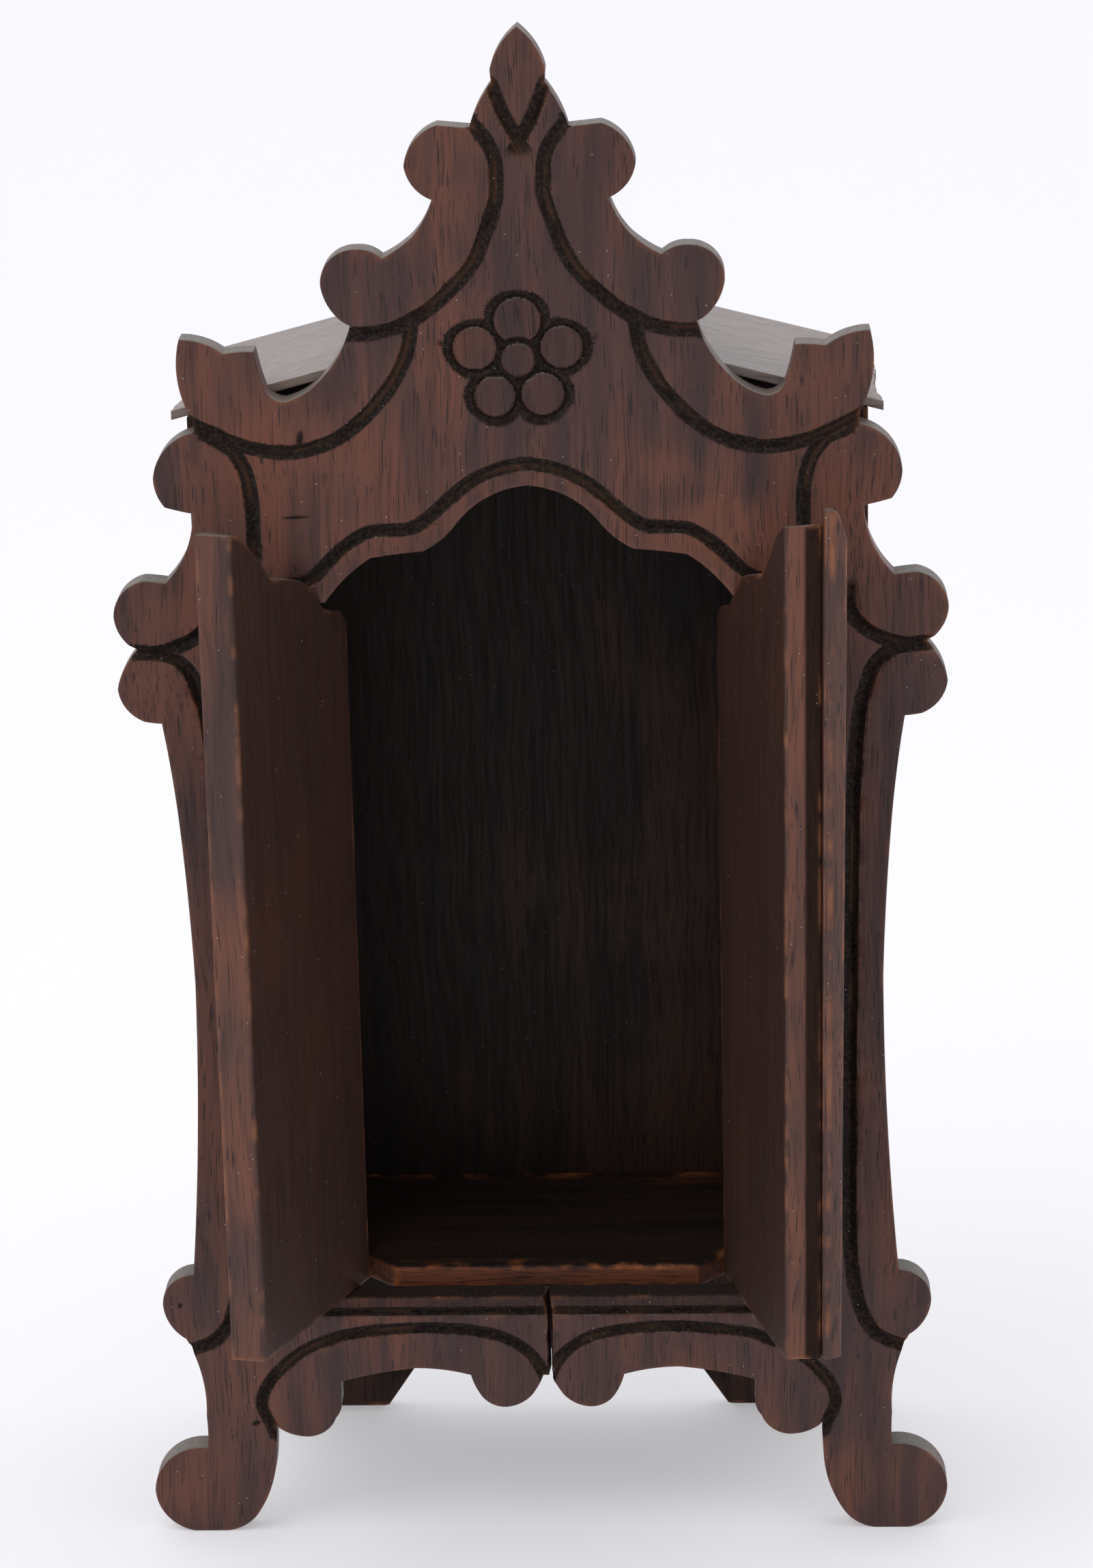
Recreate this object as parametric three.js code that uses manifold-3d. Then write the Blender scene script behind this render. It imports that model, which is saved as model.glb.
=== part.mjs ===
import * as THREE from 'three';
import { mergeVertices } from 'three/addons/utils/BufferGeometryUtils.js';
import Module from 'manifold-3d';

// A household oratory of hardwood boards: a pierced and carved front panel with two doors, and
// behind it a shallow case with a floor, two sides, a back and a low gable roof.
// Millimetres, Z up. The boards are laid out with the face of the front panel in the plane Y = 0,
// its middle line at X = 0 and the ground at Z = 0, and are then shifted to stand over the origin.

// Boards of the case
const boardThickness = 9.5;
const jointGap = 0.3;
const backFaceY = 91;
const sideInnerX = 98;
const sideThickness = 8;
const sideOuterX = sideInnerX + sideThickness;
const sideBottomZ = 60;

// Roof, with its slope as a fall for each millimetre sideways
const ridgeZ = 409.6;
const roofFall = 0.2586;
const roofThickness = 2.9;
const roofBackY = 93;
const roofBottomDrop = roofThickness * Math.hypot(1, roofFall);

// Opening of the front panel
const openingHalfWidth = 77.6;
const sillZ = 84.5;
const lintelZ = 321;

// Floor board, whose front corners are pared away beside the doors' rounded ends
const floorTopZ = 90.9;
const floorThickness = 8;
const floorFrontY = 10.1;
const floorCutStartX = 50;
const floorCutEndX = 59;
const floorCutY = 19.7;

// Doors, each turning about an upright axis. Closed, they stand a little proud of the front panel.
const pivotY = 7.1;
const hingeEndRadius = 9.3;
const hingeEndSegments = 5;
const closedDoorBackY = 9.7;
const doorThickness = 11;
const doorInnerY = closedDoorBackY - pivotY;
const doorOuterY = doorInnerY - doorThickness;
const doorBottomZ = 85;
const meetingX = 0.5;
const doorMeetingGap = 0.3;
const edgeBevel = 2.4;
const leftDoor = { side: -1, pivotX: 64.8, width: 64.8 + meetingX - doorMeetingGap, open: 113.8 };
const rightDoor = { side: 1, pivotX: 63.6, width: 63.6 - meetingX - doorMeetingGap, open: 106 };

// Strip that covers the joint between the closed doors. It leans a little past the free edge of the
// door that carries it, and its top is rounded over, as [distance behind its face, z].
const stripOverhang = 3.1;
const stripOuterOverhang = 0.9;
const stripLap = 4;
const stripThickness = 5.2;
const stripInnerY = doorOuterY - jointGap;
const stripOuterY = stripInnerY - stripThickness;
const stripLeanDegrees = 0.5;
const stripTop = [[0, 351], [0.7, 356], [2.6, 361.6], [4.4, 362], [stripThickness, 360.5]];

// Carving
const grooveWidth = 4;
const grooveDepth = 1.7;
const fineGrooveWidth = 3.3;
const grooveStep = 5;
const cutterProud = 1;

// Middle of the flower, and its petals about it as [x, z, radius]
const flowerX = -1.8;
const flowerZ = 397.6;
const petalPlaces = [
  [0, 12.2, 7.3], [-13.3, 3.7, 6.8], [13.5, 3.8, 6.6], [-7.4, -11.5, 6.4], [7.4, -10.9, 6.7],
];
const petalGrooveReach = 3.2;
const bossRadius = 5.3;
const bossRingRadius = 7.6;
const roundSegments = 22;

// Split through the lower rail
const crackWidth = 1.6;

// Feet of the back board, with soles planed up towards the inside
const backFootInnerX = 61.6;
const backArchHalfWidth = 45.6;
const backArchZ = 24;
const soleFlat = 4;
const soleRise = 2.6;

const arcTolerance = 0.1;

const wasm = await Module();
wasm.setup();

// Right half of the front panel's outline, from the tip down to the cusp of the apron. Each step
// is [x, z, rise]: an arc to that point that rises to the left of its chord, or a line.
const panelHalf = [
  [0, 500], [8.4, 487, 1.35], [8.1, 483],
  [15, 469.5, 0.75], [25, 470.5], [35.3, 458, 2.4], [27.1, 447.6, 1.8], [33.5, 436.3, -0.75],
  [42.9, 430, -0.45], [51, 432.8, 0.9], [62, 421.5, 3.5], [57.5, 412, 0.8], [53.3, 409, 0.3],
  [63.6, 391.7, -1.4], [74.4, 385.5, -0.9], [80.6, 390.1, -1.25], [83.3, 401.4, -0.2],
  [92.7, 400.9, 0.3], [106.3, 405.5, 1.2], [103.5, 380.5, 2.4], [102.8, 376.3],
  [116.3, 361.5, 3.3], [113, 352.3, 0.85], [104.5, 350.2, 0.1], [114, 328, -2.4],
  [121, 328.8, 0.1], [130.8, 317, 2.75], [123.9, 306, 1.6],
  [130.6, 293.5, 1.15], [122.5, 282.7, 1.95], [117.2, 282, 0.1],
  [113.3, 250, -0.3], [110.5, 195, -0.4], [115.6, 93, -1.1],
  [126.2, 82, 3.2], [119, 69.8, 1.7],
  [113.5, 42, -1.9], [113.5, 30.5, -0.2],
  [131.8, 15, 5.3], [119, 0, 3.5], [108, 0], [97.5, 6.4, 1.4], [91, 25, 1.2], [90.6, 38.3, 0.2],
  [81.2, 34.3, 0.85], [70.5, 41, 2.2], [68.5, 48.3, 0.9], [68.6, 54, 0.2],
  [43.5, 58.8, -0.6], [25.3, 56.2, -0.65],
  [22.5, 49.5, 0.3], [14.3, 44.6, 1.3], [5, 49.2, 1.15], [1.4, 55.5, 0.15],
];

// Right half of the opening, from the top of its arch down to the sill
const openingHalf = [
  [0, 357.8], [22.5, 345.5, 2.8], [33, 337.1, -0.8], [49.4, 335.2, 0.2], [64, lintelZ, 1],
  [openingHalfWidth, lintelZ], [openingHalfWidth, sillZ],
];

// Top of a door towards its hinge end, as [distance from its axis, z]
const doorTop = [
  [66, 356.4], [60, 355.9], [56, 353.8], [52, 350.9], [44, 343.3], [40, 338.8], [36.5, 336.3],
  [24, 333], [17, 330.3], [10.5, 324.7], [6, 319.7], [1, 317.2], [-5.5, 315.2], [-9.3, 310.8],
];

// Plan of the rebate that lets a door's outer top corner pass the lintel, from the door's axis, as
// [distance towards the free edge, y]. It is cut down to just below the lintel.
const lintelRebate = [[3.5, 3], [7.2, 3], [8.2, 1.2], [12.8, -9], [3.5, -9]];
const lintelRebateZ = lintelZ - 0.5;

// Middle lines of the carved grooves on the right half of the front panel, as [x, z]
const grooveRoutes = {
  leaf: [[9, 482], [6, 474], [3, 468], [-0.6, 461.8]],
  pediment: [
    [14.9, 472], [14.3, 470.5], [10, 465], [7.8, 459.5], [7.5, 454], [7.8, 447.8], [10.3, 440],
    [14, 430.5], [18.5, 424], [28, 415], [37, 409.5], [46, 407], [56, 406.8],
  ],
  ear: [
    [104.6, 380], [102.5, 378.8], [95.2, 375.2], [87.2, 371.9], [77.2, 369.8], [69.2, 370.2],
    [61, 372.7], [53.3, 377.5], [46, 384.6], [40.2, 392.3], [36.2, 401], [34.8, 409],
  ],
  shoulder: [[99.8, 375.2], [92.5, 371], [88, 364.4], [86.2, 356], [86, 345], [86, 336]],
  waistCurl: [[125, 306.2], [117.3, 305.9], [110.6, 307.7], [104.8, 311], [100, 316.6], [99.5, 324]],
  side: [
    [125, 305], [117.3, 304.4], [111.6, 302.6], [107.2, 297.8], [104.9, 290.8], [103.2, 283.9],
    [101.9, 268.8], [101, 247.8],
  ],
  lowCurl: [[99.9, 112.2], [100.8, 92.4], [104.3, 77], [109.2, 70.2], [116, 67], [119, 66.4]],
  arch: [
    [-1, 364.5], [8, 363], [17.3, 358.8], [23.7, 353.9], [30.8, 347.5], [36.9, 344.1], [44, 343.7],
    [50.6, 342.8], [58.5, 337.5], [66.6, 329.5], [71, 327], [76, 326], [80.4, 323], [81.5, 316],
  ],
  apron: [
    [90.6, 35.5], [91.8, 39], [94.5, 46.5], [91.5, 54.5], [82, 64], [72, 69], [63, 71.4], [48, 72.9],
    [37, 73.1], [24, 72], [12.7, 68.8], [5, 62.8], [0.5, 54.5],
  ],
};
const straightGrooves = [
  [[101, 247.8], [100.3, 201.9]],
  [[100.3, 201.9], [99.9, 112.2]],
  [[81.5, 316], [81.5, 77]],
];
const sillGroove = [[-81.5, 79], [81.5, 79]];

// Middle line of the split, from above the sill to below the apron
const crackRoute = [[0.4, 85.5], [1.2, 78.8], [1, 69.3], [1, 60.9], [1.4, 53]];

// Worn end of the right roof board, as [x, y] from front to back
const eaveEdge = [[110.8, 0], [110.5, 16], [109.2, 22], [109, 33], [110, 52], [109.4, 75], [110.3, 100]];

const woods = {
  panel: { color: '#5d4038', roughness: 0.62 },
  door: { color: '#553a31', roughness: 0.6 },
  strip: { color: '#6b4a41', roughness: 0.6 },
  caseBoard: { color: '#4a342d', roughness: 0.7 },
  roof: { color: '#7d706a', roughness: 0.75 },
};

// Points of the arc from one point to another that rises to the left of its chord
function arcPoints(from, to, rise) {
  if (Math.abs(rise) < arcTolerance) return [to];
  const chord = to.clone().sub(from);
  const half = chord.length() / 2;
  const radius = (half * half + rise * rise) / (2 * rise);
  const sweep = 4 * Math.atan(rise / half);
  const left = new THREE.Vector2(-chord.y, chord.x).normalize();
  const centre = from.clone().add(to).multiplyScalar(0.5).addScaledVector(left, rise - radius);
  const segmentAngle = 2 * Math.acos(1 - arcTolerance / Math.abs(radius));
  const count = Math.ceil(Math.abs(sweep) / segmentAngle);
  const points = [];
  for (let i = 1; i < count; i += 1) {
    points.push(from.clone().rotateAround(centre, (-sweep * i) / count));
  }
  return [...points, to];
}

function trace(steps) {
  const points = [new THREE.Vector2(...steps[0])];
  for (const [x, z, rise = 0] of steps.slice(1)) {
    points.push(...arcPoints(points.at(-1), new THREE.Vector2(x, z), rise));
  }
  return points;
}

// The right half of an outline joined to its mirror image
function wholeOutline(half) {
  const mirrored = half.filter((point) => point.x !== 0).reverse();
  return [...half, ...mirrored.map((point) => new THREE.Vector2(-point.x, point.y))];
}

// A board that stands upright, from its outline in X and Z, with its face at the given Y. The
// outline of a hole runs the other way round.
function standing(outline, frontY, thickness, hole) {
  const shape = new THREE.Shape(outline);
  if (hole) shape.holes.push(new THREE.Path(hole));
  const geometry = new THREE.ExtrudeGeometry(shape, { depth: thickness, bevelEnabled: false });
  return geometry.rotateX(Math.PI / 2).translate(0, frontY + thickness, 0);
}

function fromPairs(pairs, side = 1) {
  return pairs.map(([x, z]) => new THREE.Vector2(side * x, z));
}

// A block that stands on a plan in X and Y, from the given height to above the ridge
function upright(plan, side, bottomZ) {
  const shape = new THREE.Shape(fromPairs(plan, side));
  const height = ridgeZ + cutterProud - bottomZ;
  const geometry = new THREE.ExtrudeGeometry(shape, { depth: height, bevelEnabled: false });
  return geometry.translate(0, 0, bottomZ);
}

// A bar along X, from its section in Y and Z
function lengthwise(section, startX, length) {
  const shape = new THREE.Shape(fromPairs(section));
  const geometry = new THREE.ExtrudeGeometry(shape, { depth: length, bevelEnabled: false });
  return geometry.rotateX(Math.PI / 2).rotateZ(Math.PI / 2).translate(startX, 0, 0);
}

function toSolid(geometry) {
  geometry.deleteAttribute('normal');
  geometry.deleteAttribute('uv');
  const merged = mergeVertices(geometry);
  return new wasm.Manifold(new wasm.Mesh({
    numProp: 3,
    vertProperties: merged.attributes.position.array,
    triVerts: new Uint32Array(merged.index.array),
  }));
}

function toGeometry(solid) {
  const mesh = solid.getMesh();
  const geometry = new THREE.BufferGeometry();
  geometry.setAttribute('position', new THREE.BufferAttribute(mesh.vertProperties, 3));
  geometry.setIndex(new THREE.BufferAttribute(mesh.triVerts, 1));
  geometry.computeVertexNormals();
  return geometry;
}

// A V-shaped cutter that follows a route over the face of the front panel
function grooveCutter(route, width, side) {
  const corners = route.map(([x, z]) => new THREE.Vector3(side * x, z, 0));
  const isStraight = corners.length === 2;
  const path = isStraight ? new THREE.LineCurve3(...corners) : new THREE.CatmullRomCurve3(corners);
  const reach = (width / 2) * (1 + cutterProud / grooveDepth);
  const section = new THREE.Shape(
    fromPairs([[grooveDepth, 0], [-cutterProud, -reach], [-cutterProud, reach]]),
  );
  const geometry = new THREE.ExtrudeGeometry(section, {
    steps: isStraight ? 1 : Math.ceil(path.getLength() / grooveStep),
    extrudePath: path,
  });
  return toSolid(geometry.rotateX(Math.PI / 2));
}

function grooveCutters() {
  const cutters = [grooveCutter(sillGroove, grooveWidth, 1)];
  for (const side of [-1, 1]) {
    for (const [name, route] of Object.entries(grooveRoutes)) {
      const width = name === 'leaf' ? fineGrooveWidth : grooveWidth;
      cutters.push(grooveCutter(route, width, side));
    }
    for (const route of straightGrooves) cutters.push(grooveCutter(route, grooveWidth, side));
  }
  return cutters;
}

// A ring-shaped groove around an axis along Y, steep on its inner side
function ringCutter(innerRadius, outerRadius) {
  const outerTop = outerRadius + (outerRadius - innerRadius) * (cutterProud / grooveDepth);
  const profile = fromPairs([
    [innerRadius - cutterProud, -cutterProud], [outerTop, -cutterProud],
    [innerRadius + cutterProud / 2, grooveDepth], [innerRadius - cutterProud, -cutterProud],
  ]);
  return new THREE.LatheGeometry(profile, roundSegments);
}

// The flower: a round boss in a ring groove, over flat petals that stand in grooves of their own
function flowerCutter() {
  const grooves = [];
  const petals = [];
  for (const [x, z, radius] of petalPlaces) {
    const ring = ringCutter(radius, radius + petalGrooveReach);
    grooves.push(toSolid(ring.translate(flowerX + x, 0, flowerZ + z)));
    const petal = new THREE.CylinderGeometry(radius, radius, 2 * boardThickness, roundSegments);
    petals.push(toSolid(petal.translate(flowerX + x, 0, flowerZ + z)));
  }
  const bossRing = toSolid(ringCutter(bossRadius, bossRingRadius).translate(flowerX, 0, flowerZ));
  return wasm.Manifold.union(grooves).subtract(wasm.Manifold.union(petals)).add(bossRing);
}

function crackCutter() {
  const right = crackRoute.map(([x, z]) => [x + crackWidth / 2, z]);
  const left = crackRoute.map(([x, z]) => [x - crackWidth / 2, z]).reverse();
  const thickness = boardThickness + 2 * cutterProud;
  return toSolid(standing(fromPairs([...right, ...left]), -cutterProud, thickness));
}

function frontPanel() {
  const outline = wholeOutline(trace(panelHalf));
  const opening = wholeOutline(trace(openingHalf)).reverse();
  const blank = toSolid(standing(outline, 0, boardThickness, opening));
  const cutters = [...grooveCutters(), flowerCutter(), crackCutter()];
  return toGeometry(blank.subtract(wasm.Manifold.union(cutters)));
}

// A door about its own axis, closed: its face is outwards, its free edge bevelled towards the middle
// and its other end rounded about the axis
function door({ side, width }) {
  const top = doorTop.map(([distance, z]) => [-distance, z]);
  const outline = [[top[0][0], doorBottomZ], ...top, [hingeEndRadius, doorBottomZ]];
  const face = toSolid(standing(fromPairs(outline, side), doorOuterY, doorThickness));

  const plan = new THREE.Shape();
  plan.moveTo(edgeBevel - width, doorInnerY);
  plan.lineTo(-width, doorOuterY);
  const outerAngle = -Math.asin(doorOuterY / -hingeEndRadius);
  plan.absarc(0, 0, hingeEndRadius, outerAngle, Math.asin(doorInnerY / hingeEndRadius));
  const planPoints = plan.getPoints(hingeEndSegments).map(({ x, y }) => [x, y]);
  const rounded = toSolid(upright(planPoints, side, 0));
  const rebate = toSolid(upright(lintelRebate.map(([x, y]) => [-x, y]), side, lintelRebateZ));
  return toGeometry(face.intersect(rounded).subtract(rebate));
}

// The strip on the right door's face, about that door's axis
function coverStrip({ side, width }) {
  const plan = [
    [-width - stripOverhang, stripInnerY], [-width - stripOuterOverhang, stripOuterY],
    [stripLap - width, stripOuterY], [stripLap - width, stripInnerY],
  ];
  const profile = [
    [stripInnerY, doorBottomZ], [stripOuterY, doorBottomZ],
    ...stripTop.map(([depth, z]) => [stripOuterY + depth, z]),
  ];
  const length = stripOverhang + stripLap + 2 * cutterProud;
  const bar = lengthwise(profile, -width - stripOverhang - cutterProud, length);
  const strip = toSolid(bar).intersect(toSolid(upright(plan, side, 0)));
  const foot = new THREE.Vector3(-side * width, 0, doorBottomZ);
  return toGeometry(strip).translate(-foot.x, 0, -foot.z)
    .rotateY(THREE.MathUtils.degToRad(-side * stripLeanDegrees)).translate(foot.x, 0, foot.z);
}

// Underside of the roof at a distance from the middle line
function roofUndersideZ(x) {
  return ridgeZ - roofFall * x - roofBottomDrop;
}

function sideBoard(side) {
  const outline = [
    [sideInnerX, sideBottomZ], [sideOuterX, sideBottomZ],
    [sideOuterX, roofUndersideZ(sideOuterX) - jointGap],
    [sideInnerX, roofUndersideZ(sideInnerX) - jointGap],
  ];
  const frontY = boardThickness + jointGap;
  return standing(fromPairs(outline, side), frontY, backFaceY - jointGap - frontY);
}

function backPanel() {
  const half = [
    [0, roofUndersideZ(0) - jointGap], [sideOuterX, roofUndersideZ(sideOuterX) - jointGap],
    [sideOuterX, 0], [backFootInnerX, 0], [backArchHalfWidth, backArchZ],
  ];
  const board = toSolid(standing(wholeOutline(fromPairs(half)), backFaceY, boardThickness));
  const flatEdgeY = backFaceY + boardThickness - soleFlat;
  const slope = soleRise / (flatEdgeY - backFaceY);
  const wedge = [
    [flatEdgeY, 0], [backFaceY - cutterProud, soleRise + slope * cutterProud],
    [backFaceY - cutterProud, -cutterProud], [flatEdgeY, -cutterProud],
  ];
  const reach = sideOuterX + cutterProud;
  return toGeometry(board.subtract(toSolid(lengthwise(wedge, -reach, 2 * reach))));
}

function floorBoard() {
  const edgeX = sideInnerX - jointGap;
  const half = [
    [floorCutStartX, floorFrontY], [floorCutEndX, floorCutY], [edgeX, floorCutY],
    [edgeX, backFaceY - jointGap],
  ];
  const shape = new THREE.Shape(wholeOutline(fromPairs(half)));
  const geometry = new THREE.ExtrudeGeometry(shape, { depth: floorThickness, bevelEnabled: false });
  return geometry.translate(0, 0, floorTopZ - floorThickness);
}

function roofBoard(side) {
  const reach = Math.max(...eaveEdge.map(([x]) => x)) + cutterProud;
  const ridgeX = jointGap / 2;
  const section = [
    [ridgeX, ridgeZ - roofFall * ridgeX], [reach, ridgeZ - roofFall * reach],
    [reach, roofUndersideZ(reach)], [ridgeX, roofUndersideZ(ridgeX)],
  ];
  const frontY = boardThickness + jointGap;
  const board = toSolid(standing(fromPairs(section, side), frontY, roofBackY - frontY));
  const worn = toSolid(upright([[0, 0], ...eaveEdge, [0, eaveEdge.at(-1)[1]]], side, 0));
  return toGeometry(board.intersect(worn));
}

function piece(name, geometry, wood) {
  const mesh = new THREE.Mesh(geometry, new THREE.MeshStandardMaterial({ ...wood, metalness: 0 }));
  mesh.name = name;
  return mesh;
}

function hung({ side, pivotX, open }, ...pieces) {
  const hinge = new THREE.Group();
  hinge.position.set(side * pivotX, pivotY, 0);
  hinge.rotation.z = side * THREE.MathUtils.degToRad(open);
  hinge.add(...pieces);
  return hinge;
}

const shrine = new THREE.Group();
shrine.add(
  piece('front_panel', frontPanel(), woods.panel),
  piece('left_side', sideBoard(-1), woods.caseBoard),
  piece('right_side', sideBoard(1), woods.caseBoard),
  piece('back_panel', backPanel(), woods.caseBoard),
  piece('floor_board', floorBoard(), woods.caseBoard),
  piece('left_roof_board', roofBoard(-1), woods.roof),
  piece('right_roof_board', roofBoard(1), woods.roof),
  hung(leftDoor, piece('left_door', door(leftDoor), woods.door)),
  hung(
    rightDoor,
    piece('right_door', door(rightDoor), woods.door),
    piece('cover_strip', coverStrip(rightDoor), woods.strip),
  ),
);

// The origin is below the middle of the whole part, doors open, on the ground
const bounds = new THREE.Box3().setFromObject(shrine, true);
const middle = bounds.getCenter(new THREE.Vector3());
shrine.position.set(-middle.x, -middle.y, -bounds.min.z);

export default shrine;
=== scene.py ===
"""Dresses the solids of a household oratory: carved front, doors, case, roof, stage and camera."""

import math
from functools import partial

import bpy
import numpy as np
from bpy.props import FloatProperty, PointerProperty
from mathutils import Matrix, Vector
from mathutils.geometry import delaunay_2d_cdt


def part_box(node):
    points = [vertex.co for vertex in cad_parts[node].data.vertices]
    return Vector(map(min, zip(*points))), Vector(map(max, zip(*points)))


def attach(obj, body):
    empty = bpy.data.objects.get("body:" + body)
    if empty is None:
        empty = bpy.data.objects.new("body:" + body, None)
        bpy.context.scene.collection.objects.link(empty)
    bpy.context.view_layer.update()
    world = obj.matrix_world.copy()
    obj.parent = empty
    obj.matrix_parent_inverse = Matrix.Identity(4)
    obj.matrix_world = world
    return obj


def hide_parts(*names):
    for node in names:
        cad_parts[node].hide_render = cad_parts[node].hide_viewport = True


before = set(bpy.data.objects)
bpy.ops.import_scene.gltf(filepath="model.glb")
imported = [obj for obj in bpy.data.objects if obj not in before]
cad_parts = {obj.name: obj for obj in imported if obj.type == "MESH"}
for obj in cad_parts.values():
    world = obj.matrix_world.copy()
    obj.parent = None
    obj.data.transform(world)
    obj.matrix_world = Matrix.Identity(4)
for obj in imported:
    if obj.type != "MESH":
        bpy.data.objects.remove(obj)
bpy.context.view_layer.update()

bl_info = {
    "name": "Household Oratory",
    "version": (1, 0, 0),
    "blender": (4, 5, 0),
    "location": "3D View > Sidebar > Oratory",
    "description": "Carved front, doors, case and roof of a small wooden shrine",
    "category": "Object",
}

# The boards are laid out in millimetres about the face of the front panel, its middle line and the
# ground. This is where that face stands in the frame.
FACE_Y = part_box("front_panel")[0].y

# Right half of the front panel's outline from the tip to the cusp of the apron, as [x, z, rise]:
# an arc to that point that rises to the left of its chord
PANEL_HALF = [
    [0, 500], [8.4, 487, 1.35], [8.1, 483],
    [15, 469.5, 0.75], [25, 470.5], [35.3, 458, 2.4], [27.1, 447.6, 1.8], [33.5, 436.3, -0.75],
    [42.9, 430, -0.45], [51, 432.8, 0.9], [62, 421.5, 3.5], [57.5, 412, 0.8], [53.3, 409, 0.3],
    [63.6, 391.7, -1.4], [74.4, 385.5, -0.9], [80.6, 390.1, -1.25], [83.3, 401.4, -0.2],
    [92.7, 400.9, 0.3], [106.3, 405.5, 1.2], [103.5, 380.5, 2.4], [102.8, 376.3],
    [116.3, 361.5, 3.3], [113, 352.3, 0.85], [104.5, 350.2, 0.1], [114, 328, -2.4],
    [121, 328.8, 0.1], [130.8, 317, 2.75], [123.9, 306, 1.6],
    [130.6, 293.5, 1.15], [122.5, 282.7, 1.95], [117.2, 282, 0.1],
    [113.3, 250, -0.3], [110.5, 195, -0.4], [115.6, 93, -1.1],
    [126.2, 82, 3.2], [119, 69.8, 1.7],
    [113.5, 42, -1.9], [113.5, 30.5, -0.2],
    [131.8, 15, 5.3], [119, 0, 3.5], [108, 0], [97.5, 6.4, 1.4], [91, 25, 1.2], [90.6, 38.3, 0.2],
    [81.2, 34.3, 0.85], [70.5, 41, 2.2], [68.5, 48.3, 0.9], [68.6, 54, 0.2],
    [43.5, 58.8, -0.6], [25.3, 56.2, -0.65],
    [22.5, 49.5, 0.3], [14.3, 44.6, 1.3], [5, 49.2, 1.15], [1.4, 55.5, 0.15],
]
OPENING_HALF = [
    [0, 357.8], [22.5, 345.5, 2.8], [33, 337.1, -0.8], [49.4, 335.2, 0.2], [64, 321, 1],
    [77.6, 321], [77.6, 84.5],
]
# The two sides of the split, from the apron up to the sill, and its middle
SPLIT_RIGHT = [
    [2.2, 54], [2.1, 57], [1.7, 60.9], [1.9, 66], [1.7, 69.3], [2.1, 75], [1.8, 79.5], [1.5, 84.5],
]
SPLIT_LEFT = [
    [0.5, 55.5], [0.5, 58], [0.2, 60.9], [0.3, 66], [0.1, 69.3], [0.5, 75], [0.2, 79.5], [-0.9, 84.5],
]
SPLIT_X = 1.1

# Roots of the carved grooves on the right half, as [x, z], each with the side of its way, left (1) or
# right (-1), on which its flank is wide and soft
GROOVES = {
    "leaf": (-1, [[9, 482], [6, 474], [3, 468], [-0.6, 461.8]]),
    "pediment": (-1, [
        [14.9, 472], [14.3, 470.5], [10, 465], [7.8, 459.5], [7.5, 454], [7.8, 447.8], [10.3, 440],
        [14, 430.5], [18.5, 424], [28, 415], [37, 409.5], [46, 407], [56, 406.8],
    ]),
    "ear": (1, [
        [104.6, 380], [102.5, 378.8], [95.2, 375.2], [87.2, 371.9], [77.2, 369.8], [69.2, 370.2],
        [61, 372.7], [53.3, 377.5], [46, 384.6], [40.2, 392.3], [36.2, 401], [34.8, 409],
    ]),
    "shoulder": (-1, [[99.8, 375.2], [92.5, 371], [88, 364.4], [86.2, 356], [86, 345], [86, 336]]),
    "waist_curl": (1, [
        [125, 306.2], [117.3, 305.9], [110.6, 307.7], [104.8, 311], [100, 316.6], [99.5, 324],
    ]),
    "side": (-1, [
        [125, 305], [117.3, 304.4], [111.6, 302.6], [107.2, 297.8], [104.9, 290.8], [103.2, 283.9],
        [101.9, 268.8], [101, 247.8], [100.3, 201.9], [99.9, 150], [99.9, 112.2], [100.8, 92.4],
        [104.3, 77], [109.2, 70.2], [116, 67], [119, 66.4],
    ]),
    "arch": (1, [
        [-1, 364.5], [8, 363], [17.3, 358.8], [23.7, 353.9], [30.8, 347.5], [36.9, 344.1],
        [44, 343.7], [50.6, 342.8], [58.5, 337.5], [66.6, 329.5], [71, 327], [76, 326],
        [80.4, 323], [81.5, 316], [81.5, 200], [81.5, 77],
    ]),
    "apron": (-1, [
        [90.6, 35.5], [91.8, 39], [94.5, 46.5], [91.5, 54.5], [82, 64], [72, 69], [63, 71.4],
        [48, 72.9], [37, 73.1], [24, 72], [12.7, 68.8], [5, 62.8], [0.5, 54.5],
    ]),
    "sill": (1, [[-0.5, 79], [81.5, 79]]),
}

# Shares of the usual width of the wide and of the crisp flank
FLANKS = {"leaf": (1.25, 0.4), "sill": (0.75, 0.6), "arch": (1, 0.85), "apron": (0.9, 0.9)}

# Middle of the flower, and its petals about it as [x, z, radius]
FLOWER = (-1.8, 397.6)
PETALS = [[0, 12.2, 7.3], [-13.3, 3.7, 6.8], [13.5, 3.8, 6.6], [-7.4, -11.5, 6.4], [7.4, -10.9, 6.7]]
FLOWER_REACH = 24

# Dents of the front, as [x, z, half length, half width, turn in degrees, depth]
DENTS = [
    [-70, 373.8, 2.2, 0.9, 80, 0.35], [-72.3, 348.7, 3.4, 0.35, 2, 0.4],
    [-97, 39.5, 1.4, 0.8, 20, 0.3], [-120.5, 82, 0.8, 0.5, 60, 0.4],
]

# Where the front's dark finish is thin and the wood shows warm, as
# [x, z, half width, half height, share]
WARM_SPOTS = [
    [-28, 405, 9, 26, 0.75], [38, 440, 14, 24, 0.7], [26, 470, 8, 14, 0.6], [-62, 372, 22, 14, 0.7],
    [60, 346, 16, 8, 0.8], [-90, 395, 12, 14, 0.45], [72, 395, 16, 22, 0.6], [104, 340, 10, 20, 0.4],
    [-8, 440, 10, 16, 0.5], [40, 362, 26, 8, 0.5], [-118, 20, 10, 20, 0.5], [-113, 318, 10, 12, 0.4],
    [-85, 205, 30, 80, 0.3],
]

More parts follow.
